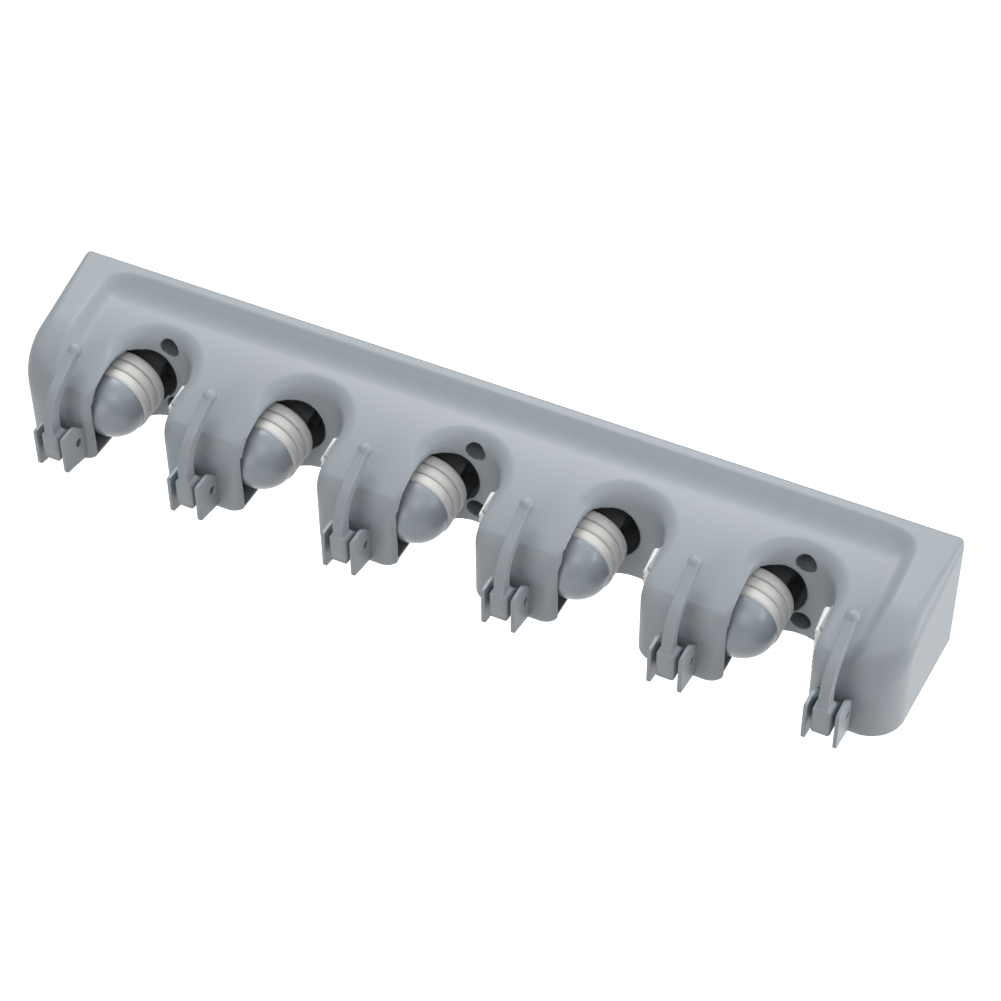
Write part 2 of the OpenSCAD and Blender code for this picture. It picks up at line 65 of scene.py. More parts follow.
# Shell
HALF_LENGTH = SHELL_HIGH.x
TOP = SHELL_HIGH.z
BOTTOM = SHELL_LOW.z
WALL = 2 * MM
SLOT_W = 36 * MM
SLOT_R = 17 * MM
SLOT_Y = -27 * MM
FRONT_Y = -67.5 * MM
FINGER_R = 5 * MM
KNEE_Z = BOTTOM + 36.7 * MM
SLOPE_RUN = 20.25 * MM
SLOPE_RISE = 11.6 * MM
CREASE_R = 12 * MM
TRAY_Y = -10.5 * MM
TRAY_DROP = 6 * MM
TRAY_R = 11 * MM
BAND_D = 5 * MM
BAND_EDGE_R = 2 * MM
RAMP = 0.55
RAMP_FOOT_R = 1 * MM
END_FOOT_R = 3.5 * MM
END_BAND_R = 2.5 * MM
SOFT_FROM = 40 * MM
SOFT_RUN = 16 * MM
COVE_H = 3.6 * MM
COVE_L = 11 * MM
COVE_Y = -7.1 * MM
CHEEK_W = 18 * MM
CHEEK_SLOPE = 0.155
CHEEK_CREASE_Y = -50 * MM
CHEEK_BLEND = 12 * MM
END_R = 15 * MM
END_DRAFT = 2 * MM
END_TOP_R = 2.4 * MM
NOSE_R = 9 * MM
ROLLER_SIDE_R = 1.5 * MM
ROLLER_SIDE_FRONT = -52 * MM
ROLLER_SIDE_BACK = -36 * MM
PAD_SIDE_R = 3.6 * MM
PAD_SIDE_FRONT = -62 * MM
PAD_SIDE_BACK = -44 * MM
SIDE_BLEND_RATE = 5
SIDE_BLEND_START = 2
BACK_EDGE_R = 6.5 * MM
LIP_LOW = 11 * MM
LIP_HIGH = 17 * MM
LIP_BACK = -30 * MM
LIP_FRONT = -45 * MM
LIP_REACH = 4 * MM
OPEN_FRONT = FRONT_Y + 3.2 * MM
BOTTOM_EDGE_R = 0.6 * MM
BOTTOM_CORNER_R = 4 * MM
BOTTOM_CORNER_L = 8 * MM
WALL_EDGE_R = 0.3 * MM
WALL_CORNER_R = 3.5 * MM
KNEE_R = 8 * MM
KNEE_FADE = 9 * MM
KNEE_WALL = 2.5 * MM
CUT_EDGE_R = 0.5 * MM
ROLLER_LEFT = 18 * MM
PORT_SHIFT = 3.5 * MM
PORT_UP = 3 * MM
PORT_R = 16 * MM
WELL_R = 4.5 * MM
WELL_TUBE_R = 6 * MM
WELL_END = -5.5 * MM
TUBE_END = -3 * MM
SCREW_HOLE_R = 2.25 * MM
WELL_Z = (13.4 * MM, -20.6 * MM)
LEDGE_OUT = 1.4 * MM
LEDGE_T = 2 * MM
PAST = 2 * MM

SLOT_X = [x + ROLLER_LEFT for x in ROLLER_X]
FINGER_D = -FRONT_Y
CREASE_Y = FRONT_Y + SLOPE_RUN
CREASE_Z = KNEE_Z + SLOPE_RISE
TRAY_Z = TOP - TRAY_DROP
SLOPE = SLOPE_RISE / SLOPE_RUN
ROOF_SLOPE = (TRAY_Z - CREASE_Z) / (TRAY_Y - CREASE_Y)
CHEEK_CREASE_Z = TOP + CHEEK_SLOPE * CHEEK_CREASE_Y
NOSE_SLOPE = (CHEEK_CREASE_Z - KNEE_Z) / (CHEEK_CREASE_Y - FRONT_Y)

# Ears and hooks
EAR_T = 1.8 * MM
EAR_INSIDE = 5.9 * MM
EAR_TOP = 10.7 * MM
EAR_ROOT_TOP = 5.4 * MM
EAR_ROOT_RUN = 6 * MM
EAR_BELOW = 9.2 * MM
EAR_ROOT_BELOW = 12 * MM
EAR_CORNER = 1.2 * MM
EAR_SINK = 1 * MM
EAR_EDGE_R = 0.35 * MM
PIN_R = 1.9 * MM
PIN_CLEAR = 0.05 * MM
STAR_R = 1.88 * MM
STAR_WAIST = 1.5 * MM
STAR_DEEP = 5 * MM
STAR_SHARP = 3
PIN_SHORT = 0.9 * MM
COLLAR_R = 3.3 * MM
COLLAR_GAP = 0.3 * MM
FOOT_W = 8.6 * MM
FOOT_H = 13.2 * MM
FOOT_D = 10.5 * MM
HEEL_R = 3.8 * MM
ARM_W = 4.7 * MM
STEM_T = 7 * MM
ARM_T = 4.6 * MM
BEND_UP = 15.5 * MM
BEND_R = 17 * MM
BEND_STEPS = 10
ARM_RUN = 23.5 * MM
ARM_RISE = 13.4 * MM
BALL_R = 3.2 * MM
ARM_EDGE_R = 0.6 * MM
BALL_FILLET_R = 0.4 * MM
FOOT_EDGE_R = 1.2 * MM
FOOT_SIDE_R = 1.3 * MM
FOOT_FILLET_R = 2.2 * MM

# Rollers and pads
SLEEVE_T = 3.2 * MM
GROOVE = 1.4 * MM
RIBS = 3
RIB_SHARP = 4
RIB_STEPS = 16
AXLE_R = 3.05 * MM
NOSE_BASE_R = 15.7 * MM
NOSE_POWER = 0.55
NOSE_STEPS = 40
NOSE_CREASE_SHARE = 0.75
NOSE_FLAT_SHARE = 0.03
PAD_PITCH = 3 * MM
PAD_RIB = 1.0 * MM
PAD_TOE = 1.2 * MM
PAD_EDGE_R = 0.5 * MM

# Mesh density, and the share of the faces that each mesh keeps
SHELL_STEP = 0.8 * MM
EAR_STEP = 0.4 * MM
PAD_STEP = EAR_STEP * 0.8
HOOK_STEP = 0.28 * MM
SHELL_KEEP = 0.2
PAD_KEEP = 0.5
EAR_KEEP = 0.35
HOOK_KEEP = 0.25
TURN_STEPS = 96

# How points settle on a field's surface: rounds, parts of a step to measure over, and limits
SETTLE_ROUNDS = 4
FINAL_ROUNDS = 2
SETTLE_PARTS = 20
NORMAL_PARTS = 8
LEAST_SLOPE = 0.2
TINY = 1e-9

# Shares that bring a steep field nearer to a slope of one
STAR_SHARE = 0.6
RIB_SHARE = 0.7

# Drift of colour and roughness, and the moulded grain
DRIFT_SCALE = 14
DRIFT_DETAIL = 3
TINT_LOW = 0.3
TINT_HIGH = 0.7
GRAIN_DETAIL = 2
GRAIN_DEEP = 0.05 * MM
ROUGH_DRIFT = 0.05


# Signed fields: negative inside, in metres


def round_max(a, b, r):
    """Both fields, with their convex edge rounded to radius r."""
    return np.minimum(np.maximum(a, b), -r) + np.hypot(np.maximum(a + r, 0), np.maximum(b + r, 0))


def round_min(a, b, r):
    """Either field, with their inner corner filled to radius r."""
    return -round_max(-a, -b, r)


def smooth_step(t):
    """Goes softly from 0 to 1 as t does, and stays there."""
    t = np.clip(t, 0, 1)
    return t * t * (3 - 2 * t)


def slot_place(x):
    """Place across the nearest slot, and that slot's number from 0."""
    number = np.clip(np.round((x - SLOT_X[0]) / SLOT_PITCH), 0, SLOT_COUNT - 1)
    return x - SLOT_X[0] - number * SLOT_PITCH, number


def end_face(x, y):
    """The two end faces, which draw in a little to the front."""
    return np.abs(x) - HALF_LENGTH - END_DRAFT * y / FINGER_D


def shell_plan(x, y):
    """The rack seen from above, with round ends, fingers and slots."""
    across = slot_place(x)[0]
    outline = round_max(end_face(x, y), FRONT_Y - y, END_R)
    slot = round_max(np.abs(across) - SLOT_W / 2, y - SLOT_Y, SLOT_R)
    return round_max(outline, -slot, FINGER_R)


def roof(y, z):
    """The roof of the fingers, with its soft crease above the sloping front."""
    front = (z - KNEE_Z - (y - FRONT_Y) * SLOPE) / math.hypot(1, SLOPE)
    rear = (z - CREASE_Z - (y - CREASE_Y) * ROOF_SLOPE) / math.hypot(1, ROOF_SLOPE)
    return round_max(front, rear, CREASE_R)


def shell_top(x, y, z):
    """The roof with the band along the wall and the raised end cheeks round the tray."""
    cheek = (z - TOP - CHEEK_SLOPE * y) / math.hypot(1, CHEEK_SLOPE)
    nose = (z - CHEEK_CREASE_Z - (y - CHEEK_CREASE_Y) * NOSE_SLOPE) / math.hypot(1, NOSE_SLOPE)
    cheek = round_max(cheek, nose, CREASE_R / 2)
    tray = round_max(np.abs(x) - HALF_LENGTH + CHEEK_W, y + BAND_D, TRAY_R)
    ramp = (-tray - (TOP + CHEEK_SLOPE * y - z) * RAMP) / math.hypot(1, RAMP)
    cove = COVE_H * np.maximum(1 - (COVE_Y - y) / COVE_L, 0) ** 2
    floor = roof(y, z) - cove
    soft = smooth_step((np.abs(x) - HALF_LENGTH + SOFT_FROM) / SOFT_RUN)
    foot_r = RAMP_FOOT_R + (END_FOOT_R - RAMP_FOOT_R) * soft
    band_r = BAND_EDGE_R + (END_BAND_R - BAND_EDGE_R) * soft
    return round_max(cheek, round_min(floor, ramp, foot_r), band_r)


def top_edge_radius(x, y):
    """Radius of the top edges: large on the cheeks, at the fronts and behind the slots, else small."""
    across = slot_place(x)[0]
    forward = np.clip(-y / FINGER_D, 0, 1)
    at_end = smooth_step((np.abs(x) - HALF_LENGTH + CHEEK_W + CHEEK_BLEND / 2) / CHEEK_BLEND)
    end_r = END_TOP_R + (NOSE_R - END_TOP_R) * forward
    along_finger = np.where(across < 0, across + SLOT_PITCH, across) / SLOT_PITCH
    roller_side = smooth_step(along_finger * SIDE_BLEND_RATE - SIDE_BLEND_START)
    start = PAD_SIDE_FRONT + (ROLLER_SIDE_FRONT - PAD_SIDE_FRONT) * roller_side
    stop = PAD_SIDE_BACK + (ROLLER_SIDE_BACK - PAD_SIDE_BACK) * roller_side
    side_r = PAD_SIDE_R + (ROLLER_SIDE_R - PAD_SIDE_R) * roller_side
    slot_edge_r = side_r + (BACK_EDGE_R - side_r) * smooth_step((y - start) / (stop - start))
    at_front = smooth_step(1 - (y - FRONT_Y) / KNEE_FADE)
    slot_edge_r = slot_edge_r + (KNEE_R - slot_edge_r) * at_front
    return slot_edge_r + (end_r - slot_edge_r) * at_end


def bottom_edge_radius(x, y):
    """Radius of the lower edges: small, but larger at the fingers' front corners."""
    across = slot_place(x)[0]
    near_slot = smooth_step(1 - (np.abs(across) - SLOT_W / 2) / BOTTOM_CORNER_L)
    at_front = smooth_step(1 - (y - FRONT_Y) / (2 * BOTTOM_CORNER_L))
    return BOTTOM_EDGE_R + (BOTTOM_CORNER_R - BOTTOM_EDGE_R) * near_slot * at_front


def shell_outside(x, y, z):
    """The shell as one solid form, with its lower edges and the edges along the wall rounded."""
    body = round_max(shell_plan(x, y), shell_top(x, y, z), top_edge_radius(x, y))
    body = round_max(body, BOTTOM - z, bottom_edge_radius(x, y))
    body = np.maximum(body, round_max(end_face(x, y), y, WALL_CORNER_R))
    return round_max(body, y, WALL_EDGE_R)


def shell_hollow(x, y, z):
    """The rooms in the fingers and along the wall, the rollers' openings and the ports behind them."""
    across = slot_place(x)[0]
    edge_r = top_edge_radius(x, y)
    inner_r = np.maximum(edge_r - WALL, CUT_EDGE_R)
    floor = BOTTOM - z + WALL
    roof_wall = WALL + KNEE_WALL * smooth_step(1 - (y - FRONT_Y) / (2 * KNEE_FADE))
    rooms = np.maximum(round_max(shell_plan(x, y) + WALL, roof(y, z) + roof_wall, inner_r), floor)
    lip = LIP_LOW + (LIP_HIGH - LIP_LOW) * smooth_step((y - LIP_BACK) / (LIP_FRONT - LIP_BACK))
    reach = np.maximum(WALL, edge_r + CUT_EDGE_R)
    under = np.maximum(roof(y, z) + reach, z - lip)
    under = np.maximum(under, np.minimum(floor, -across - SLOT_W / 2 - WALL))
    side = np.maximum(np.abs(across + SLOT_W / 2) - LIP_REACH, np.maximum(OPEN_FRONT - y, y - SLOT_Y))
    port = np.hypot(across + ROLLER_LEFT - PORT_SHIFT, z - ROLLER_Z - PORT_UP) - PORT_R
    port = np.maximum(port, np.maximum(LIP_FRONT - y, y - SLOT_Y - 2 * WALL))
    opening = round_min(np.maximum(side, under), port, LIP_REACH / 2)
    return np.minimum(rooms, opening)


def wells(x, y, z, r, end):
    """Rods along Y at the wall screws, in every other slot, from the front up to a given end."""
    across, number = slot_place(x)
    away = [np.hypot(across, z - well_z) - r for well_z in WELL_Z]
    rods = np.maximum(np.minimum(*away), y - end)
    return np.where(number % 2 == 0, rods, SLOT_PITCH)


def pad_ledge(x, y, z):
    """A small ledge on the finger's wall along the top of each pad."""
    across = slot_place(x)[0]
    pad_low, pad_high = PADS[0]
    out = np.abs(across - SLOT_W / 2) - LEDGE_OUT
    along = np.abs(y - (pad_low.y + pad_high.y) / 2) - (pad_high.y - pad_low.y) / 2
    up = np.abs(z - pad_high.z - LEDGE_T / 2) - LEDGE_T / 2
    return round_max(round_max(out, along, CUT_EDGE_R), up, CUT_EDGE_R)


def shell_field(x, y, z):
    """The finished shell: hollowed, with ledges for the pads and tubes, wells and holes for the screws."""
    outside = shell_outside(x, y, z)
    shell = round_max(outside, -shell_hollow(x, y, z), CUT_EDGE_R)
    tubes = np.maximum(wells(x, y, z, WELL_TUBE_R, TUBE_END), outside)
    shell = np.minimum(shell, tubes)
    shell = round_min(shell, pad_ledge(x, y, z), CUT_EDGE_R)
    shell = round_max(shell, -wells(x, y, z, WELL_R, WELL_END), CUT_EDGE_R)
    return np.maximum(shell, -wells(x, y, z, SCREW_HOLE_R, PAST))


# Meshes from fields


def grid_cells(field, low, step, counts):
    """The cells that a field's surface crosses, as corner points and quads between them."""
    axes = [low[a] + step * np.arange(counts[a]) for a in range(3)]
    values = field(axes[0][:, None, None], axes[1][None, :, None], axes[2][None, None, :])
    values = np.broadcast_to(values, counts)
    inside = values < 0
    corners = [(i, j, k) for i in (0, 1) for j in (0, 1) for k in (0, 1)]

    def part(array, i, j, k):
        """The grid without its last layers, moved by one step along some axes."""
        return array[i:counts[0] - 1 + i, j:counts[1] - 1 + j, k:counts[2] - 1 + k]

    full = sum(part(inside, *c).astype(np.int8) for c in corners)
    crossed = (full > 0) & (full < len(corners))
    number = np.full(crossed.shape, -1, np.int64)
    number[crossed] = np.arange(crossed.sum())
    cells = np.argwhere(crossed)
    points = np.asarray(low) + step * (cells + 0.5)
    quads = []
    for axis in range(3):
        one, two = (axis + 1) % 3, (axis + 2) % 3
        start = [slice(1, -1)] * 3
        start[axis] = slice(0, -1)
        stop = [slice(1, -1)] * 3
        stop[axis] = slice(1, None)
        first, last = inside[tuple(start)], inside[tuple(stop)]
        for goes_out in (True, False):
            edges = np.argwhere(first & ~last if goes_out else ~first & last)
            edges += np.array([0 if a == axis else 1 for a in range(3)])
            ring = []
            for back_one, back_two in ((1, 1), (0, 1), (0, 0), (1, 0)):
                cell = edges.copy()
                cell[:, one] -= back_one
                cell[:, two] -= back_two
                ring.append(number[tuple(cell.T)])
            quad = np.stack(ring if goes_out else ring[::-1], axis=1)
            quads.append(quad)
    return points, np.concatenate(quads)


def slope_of(field, points, reach):
    """The field's value and gradient at some points."""
    gradient = np.empty_like(points)
    for axis in range(3):
        move = np.zeros(3)
        move[axis] = reach
        ahead, behind = points + move, points - move
        gradient[:, axis] = (field(*ahead.T) - field(*behind.T)) / (2 * reach)
    return field(*points.T), gradient


def settle(field, points, step, rounds):
    """Moves points onto the field's surface, by at most half a step a round."""
    for turn in range(rounds):
        value, gradient = slope_of(field, points, step / SETTLE_PARTS)
        size = np.maximum((gradient ** 2).sum(1), LEAST_SLOPE)
        move = -(value / size)[:, None] * gradient
        length = np.linalg.norm(move, axis=1, keepdims=True)
        points = points + move * np.minimum(1, step / 2 / np.maximum(length, TINY))
    return points


def mesh_from_field(name, field, low, high, step, keep):
    """A smooth mesh of a field's surface in a box, thinned to a share of its faces."""
    counts = tuple(int(math.ceil((high[a] - low[a]) / step)) + 1 for a in range(3))
    points, quads = grid_cells(field, low, step, counts)
    points = settle(field, points, step, SETTLE_ROUNDS)
    mesh = bpy.data.meshes.new(name)
    mesh.from_pydata(points.tolist(), [], quads.tolist())
    maker = bpy.data.objects.new(name, mesh)
    bpy.context.scene.collection.objects.link(maker)
    thin = maker.modifiers.new("thin", "DECIMATE")
    thin.ratio = keep
    graph = bpy.context.evaluated_depsgraph_get()
    thinned = bpy.data.meshes.new_from_object(maker.evaluated_get(graph))
    bpy.data.objects.remove(maker)
    bpy.data.meshes.remove(mesh)
    mesh = thinned
    mesh.name = name
    points = np.empty(len(mesh.vertices) * 3)
    mesh.vertices.foreach_get("co", points)
    points = settle(field, points.reshape(-1, 3), step, FINAL_ROUNDS)
    mesh.vertices.foreach_set("co", points.ravel())
    normals = slope_of(field, points, step / NORMAL_PARTS)[1]
    normals /= np.maximum(np.linalg.norm(normals, axis=1, keepdims=True), TINY)
    mesh.shade_smooth()
    mesh.normals_split_custom_set_from_vertices(normals.tolist())
    mesh.update()
    return mesh


def face_centres(mesh):
    """The middles of a mesh's faces as rows of X, Y and Z."""
    centres = np.empty(len(mesh.polygons) * 3)
    mesh.polygons.foreach_get("center", centres)
    return centres.reshape(-1, 3).T


def add_piece(name, mesh, body, place=(0, 0, 0)):
    """A new piece at a place, riding on a body."""
    piece = bpy.data.objects.new(name, mesh)
    piece.location = place
    bpy.context.scene.collection.objects.link(piece)
    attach(piece, body)
    return piece


# Materials


def new_material(name, colour, roughness, speckle, bump, bump_size, metallic=0.0):
    """A satin surface with a little drift in its colour and roughness and a fine moulded grain."""
    material = bpy.data.materials.new(name)
    material.use_nodes = True
    nodes, links = material.node_tree.nodes, material.node_tree.links
    shader = nodes["Principled BSDF"]
    shader.inputs["Metallic"].default_value = metallic
    place = nodes.new("ShaderNodeTexCoord")

    drift = nodes.new("ShaderNodeTexNoise")
    drift.inputs["Scale"].default_value = DRIFT_SCALE
    drift.inputs["Detail"].default_value = DRIFT_DETAIL
    links.new(place.outputs["Object"], drift.inputs["Vector"])
    tint = nodes.new("ShaderNodeValToRGB")
    tint.color_ramp.elements[0].position = TINT_LOW
    tint.color_ramp.elements[1].position = TINT_HIGH
    tint.color_ramp.elements[0].color = [c * (1 - speckle) for c in colour] + [1]
    tint.color_ramp.elements[1].color = [min(1, c * (1 + speckle)) for c in colour] + [1]
    links.new(drift.outputs["Fac"], tint.inputs["Fac"])
    links.new(tint.outputs["Color"], shader.inputs["Base Color"])

    grain = nodes.new("ShaderNodeTexNoise")
    grain.inputs["Scale"].default_value = bump_size
    grain.inputs["Detail"].default_value = GRAIN_DETAIL
    links.new(place.outputs["Object"], grain.inputs["Vector"])
    rough = nodes.new("ShaderNodeMapRange")
    rough.inputs["To Min"].default_value = roughness - ROUGH_DRIFT
    rough.inputs["To Max"].default_value = roughness + ROUGH_DRIFT
    links.new(grain.outputs["Fac"], rough.inputs["Value"])
    links.new(rough.outputs["Result"], shader.inputs["Roughness"])
    relief = nodes.new("ShaderNodeBump")
    relief.inputs["Strength"].default_value = bump
    relief.inputs["Distance"].default_value = GRAIN_DEEP
    links.new(grain.outputs["Fac"], relief.inputs["Height"])
    links.new(relief.outputs["Normal"], shader.inputs["Normal"])
    return material


# Name, colour, roughness, drift of colour, strength and scale of the grain, and metal
shell_grey = new_material("satin_grey", (0.335, 0.37, 0.4), 0.45, 0.02, 0.25, 1800)
# Painted shade: a darker charcoal for inner faces and holes, standing in for the shade that falls there
painted_shade_dark = new_material("painted_shade_charcoal", (0.2, 0.212, 0.23), 0.55, 0.05, 0.2, 1800)
roller_grey = new_material("roller_grey", (0.33, 0.367, 0.41), 0.3, 0.02, 0.15, 1800)
grip_white = new_material("grip_rubber", (0.74, 0.735, 0.715), 0.55, 0.03, 0.4, 1400)
pad_white = new_material("pad_rubber", (0.88, 0.88, 0.87), 0.5, 0.02, 0.3, 1400)
charcoal = new_material("charcoal_plastic", (0.16, 0.168, 0.18), 0.5, 0.05, 0.25, 1800)
axle_white = new_material("axle_acetal", (0.6, 0.59, 0.55), 0.4, 0.02, 0.1, 1800)
screw_steel = new_material("screw_steel", (0.55, 0.55, 0.56), 0.3, 0.05, 0.3, 2500, 1.0)


# The shell

shell_mesh = mesh_from_field(
    "front_shell_mesh", shell_field,
    (-HALF_LENGTH - PAST, FRONT_Y - PAST, BOTTOM - PAST), (HALF_LENGTH + PAST, PAST, TOP + PAST),
    SHELL_STEP, SHELL_KEEP)
shell_mesh.materials.append(shell_grey)
shell_mesh.materials.append(painted_shade_dark)
# Painted shade: faces in the hollows and on the screw wells' walls get the darker charcoal, standing in
# for their shade
centres = face_centres(shell_mesh)
painted_shade_faces = np.abs(shell_hollow(*centres)) < np.abs(shell_outside(*centres))
painted_shade_faces |= wells(*centres, WELL_R, WELL_END) < CUT_EDGE_R / 4
shell_mesh.polygons.foreach_set("material_index", painted_shade_faces.astype(np.int32))
shell = add_piece("front_shell_skin", shell_mesh, "rack")
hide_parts("front_shell")


# Rollers


def turned_mesh(name, outline, material):
    """A mesh turned about the Y axis from points of radius and Y."""
    verts, faces = [], []
    for radius, y in outline:
        for s in range(TURN_STEPS):
            angle = 2 * math.pi * s / TURN_STEPS
            verts.append((radius * math.cos(angle), y, radius * math.sin(angle)))
    for ring in range(len(outline) - 1):
        for s in range(TURN_STEPS):
            a, b = ring * TURN_STEPS + s, ring * TURN_STEPS + (s + 1) % TURN_STEPS
            faces.append((a, b, b + TURN_STEPS, a + TURN_STEPS))
    mesh = bpy.data.meshes.new(name)
    mesh.from_pydata(verts, [], faces)
    mesh.materials.append(material)
    mesh.shade_smooth()
    return mesh


def sleeve_outline():
    """Round ribs with narrow grooves between them, and the plain bore."""
    rib_l = (SLEEVE_BACK - SLEEVE_FRONT) / RIBS
    points = [(ROLLER_R - SLEEVE_T, SLEEVE_FRONT)]
    for rib in range(RIBS):
        for s in range(RIB_STEPS + 1):
            share = s / RIB_STEPS
            radius = ROLLER_R - GROOVE * abs(2 * share - 1) ** RIB_SHARP
            points.append((radius, SLEEVE_FRONT + rib_l * (rib + share)))
    points.append((ROLLER_R - SLEEVE_T, SLEEVE_BACK))
    return points


def core_outline():
    """Round nose with a faint crease near its tip, then the body inside the sleeve."""
    nose_l = SLEEVE_FRONT - NOSE_TIP
    points = []
    for s in range(NOSE_STEPS + 1):
        share = math.sin(math.pi / 2 * (1 - s / NOSE_STEPS))
        radius = NOSE_BASE_R * (1 - share * share) ** NOSE_POWER
        past = max(0, share - NOSE_CREASE_SHARE) / (1 - NOSE_CREASE_SHARE)
        points.append((radius * (1 - NOSE_FLAT_SHARE * past), SLEEVE_FRONT - nose_l * share))
    core_r = ROLLER_R - SLEEVE_T
    return points + [(core_r, SLEEVE_FRONT), (core_r, SLEEVE_BACK), (AXLE_R, SLEEVE_BACK)]


sleeve_mesh = turned_mesh("grip_sleeve_mesh", sleeve_outline(), grip_white)
core_mesh = turned_mesh("roller_core_mesh", core_outline(), roller_grey)
for i, x in enumerate(ROLLER_X):
    body = f"roller_{i + 1}"
    sleeve = add_piece(f"ribbed_sleeve_{i + 1}", sleeve_mesh, body, (x, 0, ROLLER_Z))
    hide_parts(f"grip_sleeve_{i + 1}")
    core = add_piece(f"round_roller_{i + 1}", core_mesh, body, (x, 0, ROLLER_Z))
    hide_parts(f"roller_core_{i + 1}")


# Grip pads


def pad_field(x, y, z):
    """A pad with round horizontal ribs on its face, about the first slot."""
    pad_low, pad_high = PADS[0]
    wall_x = SLOT_X[0] + SLOT_W / 2
    rib = PAD_RIB * np.abs(np.sin(math.pi * (z - pad_low.z) / PAD_PITCH))
    toe = PAD_TOE * (pad_high.y - y) / (pad_high.y - pad_low.y)
    face = pad_low.x + PAD_RIB + toe - rib - x
    deep = np.maximum(face * RIB_SHARE, x - wall_x - WALL / 2)
    along = np.abs(y - (pad_low.y + pad_high.y) / 2) - (pad_high.y - pad_low.y) / 2
    up = np.abs(z - (pad_low.z + pad_high.z) / 2) - (pad_high.z - pad_low.z) / 2
    return round_max(round_max(along, up, PAD_EDGE_R), deep, PAD_EDGE_R)


pad_low, pad_high = PADS[0]
pad_past = Vector((PAST, PAST, PAST)) / 2
pad_mesh = mesh_from_field(
    "grip_pad_mesh", pad_field, pad_low - pad_past, pad_high + pad_past, PAD_STEP, PAD_KEEP)
pad_mesh.materials.append(pad_white)
for i, x in enumerate(SLOT_X):
    pad = add_piece(f"ribbed_pad_{i + 1}", pad_mesh, "rack", (x - SLOT_X[0], 0, 0))
    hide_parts(f"grip_pad_{i + 1}")


# Hooks and their ears

PIVOT_Y = PIVOTS[0].y
PIVOT_Z = PIVOTS[0].z
FOOT_FRONT = PIVOT_Y - FOOT_D
FOOT_BASE = PIVOT_Z - HEEL_R
FOOT_TOP = FOOT_BASE + FOOT_H
STEM_Y = FOOT_FRONT + STEM_T / 2
BEND_Z = FOOT_TOP + BEND_UP
BALL_Y = STEM_Y + ARM_RUN
BALL_Z = BEND_Z + ARM_RISE


def hook_line():
    """Middle line of a hook's stem and arm as Y, Z and half thickness, with a round bend."""
    rise = math.atan2(ARM_RISE, ARM_RUN)
    turn = math.pi / 2 - rise
    cut = BEND_R * math.tan(turn / 2)
    line = [(STEM_Y, FOOT_BASE + FOOT_H / 2), (STEM_Y, BEND_Z - cut)]
    for s in range(1, BEND_STEPS + 1):
        angle = math.pi - turn * s / BEND_STEPS
        line.append((STEM_Y + BEND_R + BEND_R * math.cos(angle), BEND_Z - cut + BEND_R * math.sin(angle)))
    line.append((BALL_Y, BALL_Z))
    lengths = [0]
    for (y0, z0), (y1, z1) in zip(line, line[1:]):
        lengths.append(lengths[-1] + math.hypot(y1 - y0, z1 - z0))
    half_t = [(STEM_T + (ARM_T - STEM_T) * along / lengths[-1]) / 2 for along in lengths]
    return [(y, z, half) for (y, z), half in zip(line, half_t)]


def bar_field(y, z):
    """Distance to the hook's bent bar in its side view."""
    nearest = None
    line = hook_line()
    for (y0, z0, t0), (y1, z1, t1) in zip(line, line[1:]):
        dy, dz = y1 - y0, z1 - z0
        share = np.clip(((y - y0) * dy + (z - z0) * dz) / (dy * dy + dz * dz), 0, 1)
        away = np.hypot(y - y0 - share * dy, z - z0 - share * dz) - (t0 + (t1 - t0) * share)
        nearest = away if nearest is None else np.minimum(nearest, away)
    return nearest


def star_hole(x, y, z):
    """A star-shaped hollow in both ends of the pins."""
    from_pivot = np.hypot(y - PIVOT_Y, z - PIVOT_Z)
    angle = np.arctan2(z - PIVOT_Z, y - PIVOT_Y)
    star_r = STAR_WAIST + (STAR_R - STAR_WAIST) * np.abs(np.cos(2 * angle)) ** STAR_SHARP
    return np.maximum((from_pivot - star_r) * STAR_SHARE, EAR_INSIDE + EAR_T - STAR_DEEP - np.abs(x))


def hook_field(x, y, z):
    """A hook about its own middle: foot, bent bar, ball and pins with a star-shaped hollow."""
    bar = round_max(bar_field(y, z), np.abs(x) - ARM_W / 2, ARM_EDGE_R)
    ball = np.sqrt(x * x + (y - BALL_Y) ** 2 + (z - BALL_Z) ** 2) - BALL_R
    hook = round_min(bar, ball, BALL_FILLET_R)
    foot_mid = (FOOT_FRONT + PIVOT_Y) / 2
    block = np.maximum(np.abs(y - foot_mid) - (PIVOT_Y - FOOT_FRONT) / 2,
                       np.abs(z - FOOT_BASE - FOOT_H / 2) - FOOT_H / 2)
    heel = np.hypot(y - PIVOT_Y, z - PIVOT_Z) - HEEL_R
    heel_up = np.maximum(np.abs(y - PIVOT_Y) - HEEL_R, np.abs(z - (PIVOT_Z + FOOT_TOP - HEEL_R) / 2)
                         - (FOOT_TOP - HEEL_R - PIVOT_Z) / 2)
    shoulder = (y - STEM_Y - STEM_T / 2 + z - FOOT_TOP) * math.sqrt(0.5)
    foot = round_max(np.minimum(np.minimum(block, heel), heel_up), shoulder, FOOT_EDGE_R)
    foot = round_max(foot, np.abs(x) - FOOT_W / 2, FOOT_SIDE_R)
    hook = round_min(hook, foot, FOOT_FILLET_R)
    from_pivot = np.hypot(y - PIVOT_Y, z - PIVOT_Z)
    pins = np.maximum(from_pivot - PIN_R, np.abs(x) - EAR_INSIDE - EAR_T + PIN_SHORT)
    collars = np.maximum(from_pivot - COLLAR_R, np.abs(x) - EAR_INSIDE + COLLAR_GAP)
    hook = np.minimum(hook, np.minimum(pins, collars))
    return np.maximum(hook, -star_hole(x, y, z))


